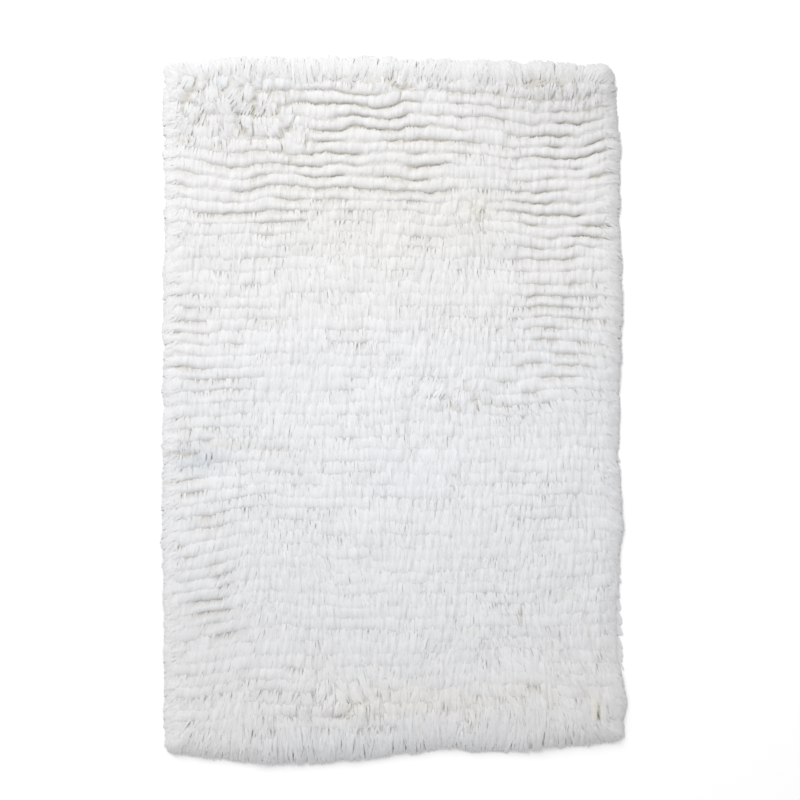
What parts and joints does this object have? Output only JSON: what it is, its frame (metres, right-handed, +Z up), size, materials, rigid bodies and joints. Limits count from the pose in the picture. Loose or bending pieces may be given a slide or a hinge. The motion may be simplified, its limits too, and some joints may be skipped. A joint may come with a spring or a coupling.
{
  "type": "hand-woven shag rug",
  "caption": "White wool shag rug lying flat: a soft slab of long pile in rows across it, tousled in places, with loose wool locks over all four edges.",
  "frame": {"origin": "on the floor, under the middle of the rug's outline", "axes": "+Z up, +Y along the long side, towards the end that the pile falls away from, +X across"},
  "size_m": [1.1996, 1.8418, 0.0456],
  "materials": {
    "wool_pile": "matt off-white undyed wool in long soft pile"
  },
  "bodies": {
    "root": {"woven_shag_rug": "wool_pile"}
  },
  "joints": []
}
